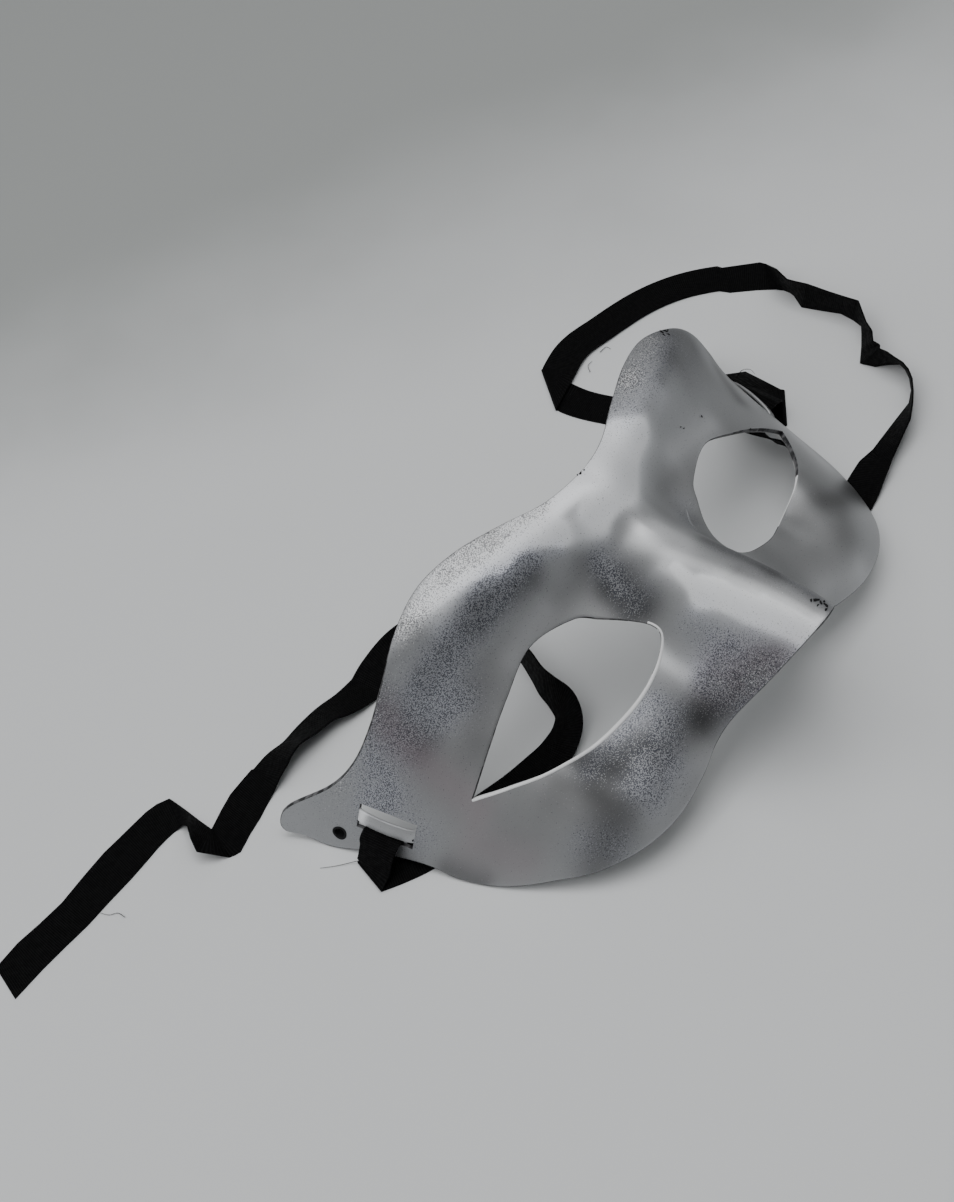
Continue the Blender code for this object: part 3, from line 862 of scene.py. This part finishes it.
def bead(path, size, sink=0.0, closed=False):
    """A rounded bead lying on the skin along a path of face points."""
    wide, high = size
    shape = bmesh.new()
    rings = []
    count = len(path)
    for place, (x, up) in enumerate(path):
        before = path[place - 1] if place or closed else path[0]
        after = path[(place + 1) % count] if place + 1 < count or closed else path[-1]
        out = face_normal(x, up)
        side = (face_point(*after) - face_point(*before)).cross(out).normalized()
        along = place / (count - 1)
        share = 1 if closed else max(BEAD_LEAST, 1 - abs(2 * along - 1)) ** BEAD_POWER
        centre = face_point(x, up) - out * sink
        rings.append(
            add_ring(shape, centre, side * wide * share, out * high * share, BEAD_SIDES))
    for near, far in zip(rings, rings[1:]):
        add_band(shape, near, far)
    if closed:
        add_band(shape, rings[-1], rings[0])
    else:
        for ring in (rings[0], rings[-1]):
            shape.faces.new(ring)
    bmesh.ops.recalc_face_normals(shape, faces=shape.faces)
    return shape


def rim_path():
    """Just outside the lower side of the left eye, from its corner to the nose."""
    path = []
    middle = Vector((EYE_ACROSS, EYE_UP))
    for step in range(RIM_STEPS + 1):
        row = EYE_CORNER_ROW + RIM_ROWS * step / RIM_STEPS
        point = eye_point(row)
        heading = (eye_point(row + RIM_LOOK) - point).normalized()
        side = Vector((heading.y, -heading.x))
        if side.dot(point - middle) < 0:
            side = -side
        point = point + side * RIM_BEAD[0] * RIM_SET_OUT
        path.append((-point.x, point.y))
    return path


def smooth(rows, steps_from):
    """Points along the smooth curve through rows."""
    rows = [2 * rows[0] - rows[1]] + rows + [2 * rows[-1] - rows[-2]]
    points = []
    for index in range(len(rows) - 3):
        steps = steps_from(rows[index + 1], rows[index + 2])
        points += [spline(*rows[index:index + 4], step / steps) for step in range(steps)]
    return points + [rows[-2]]


def smooth_path(rows, steps):
    return smooth([Vector(row) * MM for row in rows], lambda start, end: steps)


def flakes():
    shape = bmesh.new()
    spread = random.Random(FLAKE_SEED)
    for x, up, length, width, turn in FLAKES:
        x, up = x * MM, up * MM
        out = face_normal(x, up)
        along = Vector((math.cos(math.radians(turn)), math.sin(math.radians(turn)), 0))
        along = (along - along.project(out)).normalized()
        across = out.cross(along)
        low, top = [], []
        for step in range(FLAKE_SIDES):
            angle = 2 * math.pi * step / FLAKE_SIDES
            reach = spread.uniform(*FLAKE_REACH)
            spot = along * math.cos(angle) * length * MM + across * math.sin(angle) * width * MM
            spot = face_point(x, up) + spot * reach
            low.append(shape.verts.new(spot - out * FLAKE_THICK))
            high = FLAKE_THICK * spread.uniform(*FLAKE_TOP)
            top.append(shape.verts.new(spot + out * high))
        peak = shape.verts.new(face_point(x, up) + out * FLAKE_THICK * FLAKE_PEAK)
        add_band(shape, low, top)
        for near, far in zip(top, top[1:] + top[:1]):
            shape.faces.new((near, far, peak))
        shape.faces.new(low[::-1])
    return shape


def collar(side):
    """The burr pushed down round a punched hole."""
    x, up = punch_place(side)
    out = face_normal(x, up)
    first, second = cross_arms(out)
    shape = bmesh.new()
    rings = []
    for radius, depth in (
        (PUNCH_RADIUS, WALL),
        (PUNCH_RADIUS, WALL + COLLAR_DEPTH),
        (PUNCH_RADIUS + COLLAR_WALL, WALL + COLLAR_DEPTH),
        (PUNCH_RADIUS + COLLAR_FOOT, WALL),
    ):
        centre = face_point(x, up) - out * depth
        rings.append(add_ring(shape, centre, first * radius, second * radius, PUNCH_FACES))
    for near, far in zip(rings, rings[1:] + rings[:1]):
        add_band(shape, near, far)
    bmesh.ops.recalc_face_normals(shape, faces=shape.faces)
    return shape


def punch_path(side):
    """Unevenly round a punched hole."""
    x, up = punch_place(side)
    first, second = cross_arms(face_normal(x, up))
    path = []
    for step in range(PUNCH_FACES):
        turn = 2 * math.pi * step / PUNCH_FACES
        uneven = 0.8 + 0.25 * math.sin(3 * turn + 1)
        reach = PUNCH_RADIUS + PUNCH_BEAD[0] * uneven
        spot = (first * math.cos(turn) + second * math.sin(turn)) * reach
        path.append((x + spot.x, up + spot.y))
    return path


def make_trims(shell, materials):
    """The small things on the shell: bare rim, lip, flakes and the left hole's stain and burr."""
    lip = [(point.x, point.y) for point in smooth_path(LIP, LIP_STEPS)]
    trims = []
    for name, shape, material in (
        ("bare_rim", bead(rim_path(), RIM_BEAD), EDGE),
        ("eye_lip", bead(lip, LIP_BEAD, sink=LIP_SINK), PAINT),
        ("flakes", flakes(), BLACK),
        ("punch_rim", bead(punch_path(-1), PUNCH_BEAD, closed=True), BLACK),
        ("left_burr", collar(-1), BLACK),
    ):
        trim = add_object(name, shape)
        trim.data.materials.append(materials[material])
        trim.parent = shell
        mark_paint(trim)
        trims.append(trim)
    return trims


def seat(items):
    """Tips the shell and its strips and sets them down in the place of the solid."""
    turn = Matrix.Rotation(FACE_PITCH, 4, "X")
    corners = [turn @ vertex.co for vertex in items[0].data.vertices]
    low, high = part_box("mask_shell")
    along = (low[1] + high[1] - min(c.y for c in corners) - max(c.y for c in corners)) / 2
    rise = low[2] - min(c.z for c in corners)
    for item in items:
        item.data.transform(Matrix.Translation((0, along, rise)) @ turn)
        item.data.update()
    bpy.context.view_layer.update()


def stroke_sum(strokes, x, y):
    """The strokes' amounts added up at each of the points x, y (mm)."""
    total = np.zeros_like(x)
    for from_x, from_y, to_x, to_y, reach, amount in strokes:
        run_x, run_y = to_x - from_x, to_y - from_y
        share = ((x - from_x) * run_x + (y - from_y) * run_y) / (run_x ** 2 + run_y ** 2)
        share = np.clip(share, 0, 1)
        gap = (x - from_x - share * run_x) ** 2 + (y - from_y - share * run_y) ** 2
        total += amount * np.exp(-gap / reach ** 2)
    return total


def mark_paint(item, more_painted_light=(), speckled=True):
    """Keeps the paint on the mesh: its tone with the painted highlights and painted shade, grain, specks
    and blush at each point.
    """
    places = np.zeros(3 * len(item.data.vertices))
    item.data.vertices.foreach_get("co", places)
    x, y, _ = places.reshape(-1, 3).T / MM
    tone_and_painted_light = PAINT_TONE * np.exp(stroke_sum(PAINTED_LIGHT_AND_SHADE, x, y) + stroke_sum(more_painted_light, x, y))
    tone_and_painted_light = np.minimum(tone_and_painted_light, PAINT_BRIGHTEST)
    others = [np.clip(stroke_sum(strokes, x, y), 0, 1) for strokes in (GRAIN, SPECKS, BLUSH)]
    if not speckled:
        others[0][:] = others[1][:] = 0
    layer = item.data.attributes.new("marks", "FLOAT_COLOR", "POINT")
    layer.data.foreach_set("color", np.stack([tone_and_painted_light] + others, axis=1).ravel())


def smooth_by_angle(item):
    for face in item.data.polygons:
        face.use_smooth = True
    item.data.set_sharp_from_angle(angle=math.radians(SMOOTH_ANGLE))


# Ribbons


def ribbon_steps(start, end):
    return max(round((end.xyz - start.xyz).length * MM / RIBBON_STEP), 1)


def cross_line(point, ahead, behind):
    heading = (ahead.xyz - behind.xyz).normalized()
    left = UP.cross(heading)
    left = left.normalized() if left.length > STEEP else Vector((-heading.z, 0, heading.x))
    upward = heading.cross(left)
    lift = math.radians(point.w)
    edge = (left * math.cos(lift) + upward * math.sin(lift)) * RIBBON_WIDTH / 2
    middle = point.xyz * MM
    middle.z += abs(edge.z) + RIBBON_THICK / 2
    return middle + edge, middle - edge


def fold_lines(before, fold, fold_after, after):
    """The crossings of one flat fold: into it, round it and out of it."""
    into = (fold - before).xy.normalized()
    out = (after - fold_after).xy.normalized()
    crease = (into + out).normalized()
    reach = RIBBON_WIDTH / 2 / abs(crease.cross(into))
    side = 1 if into.cross(crease) > 0 else -1
    edge = (crease * side * reach).to_3d()
    bulge = (into - out).normalized().to_3d() * RIBBON_THICK
    rise = Vector((0, 0, RIBBON_THICK / 2))
    first = fold.xyz * MM + rise
    last = fold_after.xyz * MM + rise
    lines = []
    for step in range(FOLD_STEPS + 1):
        turn = math.pi * step / FOLD_STEPS
        spot = first.lerp(last, 0.5 - 0.5 * math.cos(turn)) + bulge * math.sin(turn)
        lines.append((spot + edge, spot - edge))
    return lines, reach * abs(crease.dot(into))


def ribbon_lines(runs):
    lines = []
    clear = 0.0
    for number, run in enumerate(runs):
        points = smooth([Vector(row) for row in run], ribbon_steps)
        crossings = []
        for place, point in enumerate(points):
            ahead = points[min(place + 1, len(points) - 1)]
            behind = points[max(place - 1, 0)]
            crossings.append(cross_line(point, ahead, behind))
        first = 0
        if number:
            start = points[0].xyz
            while (points[first].xyz - start).length * MM < clear + RIBBON_STEP / 2:
                first += 1
        last = len(points)
        creases = []
        if number + 1 < len(runs):
            fold = Vector(run[-1])
            creases, clear = fold_lines(
                Vector(run[-2]), fold, Vector(runs[number + 1][0]), Vector(runs[number + 1][1])
            )
            while (points[last - 1].xyz - fold.xyz).length * MM < clear + RIBBON_STEP / 2:
                last -= 1
        crossings = crossings[first:last] + creases
        if number % 2:
            crossings = [(right, left) for left, right in crossings]
        lines += crossings
    return lines


def with_edges(lines, rows):
    """The crossings, with the table's edges in place of those along its stretch."""
    pairs = [(Vector(row[:3]) * MM, Vector(row[3:]) * MM) for row in rows]
    middles = [(left + right) / 2 for left, right in lines]

    def nearest(pair):
        spot = (pair[0] + pair[1]) / 2
        return min(range(len(lines)), key=lambda number: (middles[number] - spot).length)

    first, last = nearest(pairs[0]), nearest(pairs[-1])
    if (lines[first][0] - pairs[0][0]).length > (lines[first][1] - pairs[0][0]).length:
        pairs = [(far, near) for near, far in pairs]
    between = []
    for here, after in zip(pairs, pairs[1:]):
        length = max((after[0] - here[0]).length, (after[1] - here[1]).length)
        steps = max(round(length / RIBBON_STEP), 1)
        for step in range(steps):
            share = step / steps
            between.append((here[0].lerp(after[0], share), here[1].lerp(after[1], share)))
    between.append(pairs[-1])
    return lines[:max(first - LINES_BEFORE, 0)] + between + lines[last + LINES_AFTER:]


def make_ribbon(name, runs, edges, material):
    shape = bmesh.new()
    layer = shape.loops.layers.uv.new("along")
    rows = []
    path = []
    travelled = 0.0
    lines = ribbon_lines(runs)
    for table in edges:
        lines = with_edges(lines, table)
    for left, right in lines:
        middle = (left + right) / 2
        if path:
            travelled += (middle - path[-1]).length
        path.append(middle)
        row = [shape.verts.new(left.lerp(right, step / RIBBON_FACES)) for step in range(RIBBON_FACES + 1)]
        rows.append((travelled, row))
    for (near_at, near), (far_at, far) in zip(rows, rows[1:]):
        for step in range(RIBBON_FACES):
            face = shape.faces.new((near[step], near[step + 1], far[step + 1], far[step]))
            sides = [step, step + 1, step + 1, step]
            for loop, side, at in zip(face.loops, sides, (near_at, near_at, far_at, far_at)):
                loop[layer].uv = (at / RIBBON_WIDTH, side / RIBBON_FACES)
    ribbon = add_object(name, shape)
    ribbon.data.materials.append(material)
    solidify = ribbon.modifiers.new("Thickness", "SOLIDIFY")
    solidify.thickness = RIBBON_THICK
    solidify.offset = 0
    bpy.context.view_layer.update()
    bake_modifiers(ribbon)
    smooth_by_angle(ribbon)
    return ribbon, path, travelled


def make_thread(name, rows, material):
    shape = bmesh.new()
    rings = []
    points = smooth_path(rows, THREAD_STEPS)
    for place, point in enumerate(points):
        ahead = points[min(place + 1, len(points) - 1)] - points[max(place - 1, 0)]
        first, second = cross_arms(ahead.normalized())
        thin = THREAD_RADIUS * (1 - 0.5 * place / len(points))
        rings.append(add_ring(shape, point, first * thin, second * thin, THREAD_SIDES))
    for near, far in zip(rings, rings[1:]):
        add_band(shape, near, far)
    for ring in (rings[0], rings[-1]):
        shape.faces.new(ring)
    bmesh.ops.recalc_face_normals(shape, faces=shape.faces)
    shape.loops.layers.uv.new("along")
    thread = add_object(name, shape)
    thread.data.materials.append(material)
    return thread


# Materials


class Nodes:
    """A short way to add and link shader nodes."""

    def __init__(self, name):
        self.material = bpy.data.materials.new(name)
        self.material.use_nodes = True
        self.tree = self.material.node_tree
        self.shader = self.tree.nodes["Principled BSDF"]

    def add(self, kind, settings=None, **inputs):
        node = self.tree.nodes.new(kind)
        for key, value in (settings or {}).items():
            setattr(node, key, value)
        for key, value in inputs.items():
            self.put(node, key.replace("_", " "), value)
        return node

    def put(self, node, socket, value):
        target = node.inputs[socket]
        if isinstance(value, bpy.types.NodeSocket):
            self.tree.links.new(value, target)
        else:
            target.default_value = value

    def math(self, operation, first, second=0.0):
        node = self.tree.nodes.new("ShaderNodeMath")
        node.operation = operation
        self.put(node, 0, first)
        self.put(node, 1, second)
        return node.outputs[0]

    def span(self, value, low, high, to_low=0.0, to_high=1.0):
        node = self.tree.nodes.new("ShaderNodeMapRange")
        node.interpolation_type = "SMOOTHSTEP"
        self.tree.links.new(value, node.inputs[0])
        for place, number in enumerate((low, high, to_low, to_high), 1):
            node.inputs[place].default_value = number
        return node.outputs[0]

    def span_between(self, value, limit, soft):
        """1 where value is over limit, 0 under it, with a soft step."""
        over = self.math("SUBTRACT", value, limit)
        return self.span(over, -soft, soft)

    def blend(self, share, first, second):
        node = self.tree.nodes.new("ShaderNodeMix")
        node.data_type = "RGBA"
        for place, value in ((0, share), (6, first), (7, second)):
            self.put(node, place, value)
        return node.outputs[2]

    def place(self):
        return self.add("ShaderNodeTexCoord").outputs["Object"]

    def mottle(self, scale, detail):
        noise = self.add("ShaderNodeTexNoise", Vector=self.place(), Scale=scale, Detail=detail)
        return noise.outputs["Fac"]

    def skin(self, **sockets):
        """Sets the shader's sockets and returns the finished material."""
        for socket, value in sockets.items():
            self.put(self.shader, socket.replace("_", " "), value)
        return self.material


def paint_material():
    make = Nodes("silver_paint")
    marks = make.add("ShaderNodeAttribute", {"attribute_name": "marks"})
    parts = make.add("ShaderNodeSeparateColor", Color=marks.outputs["Color"])
    tone_and_painted_light, grain, dust = parts.outputs[0], parts.outputs[1], parts.outputs[2]
    blush = marks.outputs["Alpha"]
    fine = make.mottle(3500.0, 1.0)
    coarse = make.mottle(3300.0, 1.0)
    broad = make.mottle(60.0, 3.0)
    patchy = make.mottle(220.0, 3.0)
    # The tone carries the painted highlights, painted shade and painted reflections of the strokes, under
    # a broad mottle.
    cloudy = make.math("MULTIPLY", tone_and_painted_light, make.span(broad, 0.3, 0.7, 0.96, 1.04))
    spread = make.math("MULTIPLY", dust, make.span(patchy, 0.3, 0.7, 0.75, 1.15))
    tint = make.blend(spread, (0.975, 0.99, 1.01, 1), (0.95, 0.98, 1.1, 1))
    base = make.blend(cloudy, (0, 0, 0, 1), tint)
    base = make.blend(make.math("MULTIPLY", blush, 0.3), base, (0.4, 0.27, 0.31, 1))
    # Fine dark specks where the overspray lies, with paler points between them.
    limit = make.math("SUBTRACT", 0.74, make.math("MULTIPLY", spread, 0.27))
    specks = make.span_between(fine, limit, 0.05)
    base = make.blend(make.math("MULTIPLY", specks, 0.72), base, (0.05, 0.053, 0.07, 1))
    glints = make.span_between(make.math("SUBTRACT", 1.0, fine), limit, 0.05)
    base = make.blend(make.math("MULTIPLY", glints, 0.22), base, (0.9, 0.92, 0.95, 1))
    # Dark and light grain where the paint is rough, as along the brow.
    heap = make.math("MULTIPLY", grain, make.span(patchy, 0.25, 0.75, 0.85, 1.1))
    edge = make.math("SUBTRACT", 0.8, make.math("MULTIPLY", heap, 0.29))
    dark_grain = make.span_between(coarse, edge, 0.05)
    base = make.blend(make.math("MULTIPLY", dark_grain, 0.68), base, (0.06, 0.06, 0.065, 1))
    light_grain = make.span_between(make.math("SUBTRACT", 1.0, coarse), edge, 0.05)
    base = make.blend(make.math("MULTIPLY", light_grain, 0.6), base, (0.95, 0.95, 0.95, 1))
    rough = make.span(broad, 0.3, 0.7, 0.42, 0.47)
    rough = make.math("ADD", rough, make.math("MULTIPLY", grain, 0.08))
    rough = make.math("ADD", rough, make.math("MULTIPLY", dust, 0.12))
    relief = make.math("ADD", make.math("MULTIPLY", fine, 0.5), make.math("MULTIPLY", coarse, grain))
    bumps = make.add("ShaderNodeBump", Height=relief, Strength=0.3, Distance=0.00012)
    # Where the painted highlights are brightest the paint is less metallic, which makes them paler.
    return make.skin(
        Base_Color=base, Roughness=rough, Metallic=make.span(tone_and_painted_light, 0.6, 0.95, 0.7, 0.1),
        Normal=bumps.outputs[0],
    )


def edge_material():
    make = Nodes("cut_edge")
    mottle = make.mottle(300.0, 3.0)
    return make.skin(
        Base_Color=make.blend(mottle, (0.8, 0.81, 0.82, 1), (0.95, 0.95, 0.95, 1)),
        Roughness=make.span(mottle, 0.3, 0.7, 0.4, 0.55),
    )


# Mottled near-black cut edges.
def dark_edge_material():
    make = Nodes("dark_edge")
    edge_mottle = make.span(make.mottle(500.0, 3.0), 0.42, 0.62)
    return make.skin(
        Base_Color=make.blend(edge_mottle, (0.012, 0.012, 0.014, 1), (0.13, 0.13, 0.135, 1)),
        Roughness=0.6,
    )


def black_paint_material():
    make = Nodes("black_paint")
    mottle = make.mottle(1500.0, 2.0)
    return make.skin(
        Base_Color=make.blend(mottle, (0.002, 0.002, 0.002, 1), (0.02, 0.02, 0.022, 1)),
        Roughness=make.span(mottle, 0.3, 0.7, 0.6, 0.85), Specular_IOR_Level=0.2,
    )


def inside_material():
    make = Nodes("inside_plastic")
    mottle = make.mottle(120.0, 4.0)
    return make.skin(
        Base_Color=make.blend(mottle, (0.66, 0.66, 0.66, 1), (0.78, 0.78, 0.77, 1)),
        Roughness=make.span(mottle, 0.3, 0.7, 0.45, 0.6),
    )


def ribbon_material():
    make = Nodes("black_ribbon")
    along = make.add("ShaderNodeUVMap", {"uv_map": "along"}).outputs[0]
    ribs = make.add(
        "ShaderNodeTexWave", {"wave_type": "BANDS", "bands_direction": "X"},
        Vector=along, Scale=5.6, Distortion=0.25, Detail=1.0,
    ).outputs["Fac"]
    lint = make.mottle(900.0, 3.0)
    relief = make.add("ShaderNodeBump", Height=ribs, Strength=0.6, Distance=0.0002)
    return make.skin(
        Base_Color=make.blend(ribs, (0.0004, 0.0004, 0.0005, 1), (0.0045, 0.0045, 0.005, 1)),
        Roughness=make.span(lint, 0.3, 0.7, 0.65, 0.9), Specular_IOR_Level=0.09,
        Normal=relief.outputs[0],
    )


def floor_with_painted_shade():
    """A pale surface with painted shade, growing darker away from the camera."""
    make = Nodes("floor")
    away = make.add("ShaderNodeVectorMath", {"operation": "DOT_PRODUCT"})
    make.put(away, 0, make.place())
    make.put(away, 1, SHADE_WAY)
    mottle = make.mottle(9.0, 4.0)
    far = make.math("ADD", away.outputs["Value"], make.span(mottle, 0.3, 0.7, -0.012, 0.012))
    near = make.blend(mottle, (0.71, 0.725, 0.735, 1), (0.74, 0.755, 0.765, 1))
    return make.skin(
        Base_Color=make.blend(make.span(far, 0.11, 0.24), near, (0.37, 0.385, 0.38, 1)),
        Roughness=0.55,
    )


# Floor and light

SHADE_WAY = (0.523, 0.854, 0)
FLOOR_REACH = 3
SKY = (0.95, 0.98, 1.0, 1)
SKY_STRENGTH = 0.07


def add_floor():
    shape = bmesh.new()
    bmesh.ops.create_grid(shape, x_segments=1, y_segments=1, size=FLOOR_REACH)
    floor = add_object("floor", shape)
    floor.data.materials.append(floor_with_painted_shade())


# Columns: name, degrees round from +x, degrees up, metres away, side in metres, watts.
LIGHTS = [
    ("ceiling", 0, 88, 1.5, 1.0, 10.0),
    ("left_window", 180, 55, 1.5, 0.8, 5.0),
    ("back_window", 125, 55, 1.5, 0.8, 3.0),
    ("low_window", 128, 14, 1.5, 0.8, 2.5),
    ("right_wall", 20, 30, 1.5, 0.8, 1.0),
    ("near_ceiling", -60, 62, 1.5, 1.0, 2.5),
]


def add_light(name, turn, height, distance, size, power):
    """A soft box aimed at the mask."""
    turn, height = math.radians(turn), math.radians(height)
    way = Vector((math.cos(turn) * math.cos(height), math.sin(turn) * math.cos(height),
                  math.sin(height)))
    data = bpy.data.lights.new(name, "AREA")
    data.shape = "SQUARE"
    data.size = size
    data.energy = power
    light = bpy.data.objects.new(name, data)
    light.location = way * distance
    light.rotation_euler = (-way).to_track_quat("-Z", "Y").to_euler()
    bpy.context.scene.collection.objects.link(light)


def add_lights():
    world = bpy.data.worlds.new("room")
    world.use_nodes = True
    background = world.node_tree.nodes["Background"]
    background.inputs["Color"].default_value = SKY
    background.inputs["Strength"].default_value = SKY_STRENGTH
    bpy.context.scene.world = world
    for row in LIGHTS:
        add_light(*row)


def main():
    add_camera()
    ribbon_paint = ribbon_material()
    for name, runs, edges, threads, exit_at in (
        ("ribbon_left_woven", LEFT_RIBBON, [LEFT_EDGES], LEFT_THREADS, LEFT_EXIT),
        ("ribbon_right_woven", RIGHT_RIBBON, [RIGHT_EDGES, RIGHT_END_EDGES], RIGHT_THREADS,
         RIGHT_EXIT),
    ):
        ribbon, path, length = make_ribbon(name, runs, edges, ribbon_paint)
        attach(ribbon, "root")
        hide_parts(name.replace("_woven", ""))
        for number, rows in enumerate(threads):
            thread = make_thread(f"{name}_thread_{number}", rows, ribbon_paint)
            thread.parent = ribbon
    shell, strips = make_shell(
        [paint_material(), edge_material(), inside_material(), dark_edge_material(),
         black_paint_material()])
    smooth_by_angle(shell)
    for strip in strips:
        smooth_by_angle(strip)
    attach(shell, "root")
    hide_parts("mask_shell")
    add_floor()
    add_lights()


main()
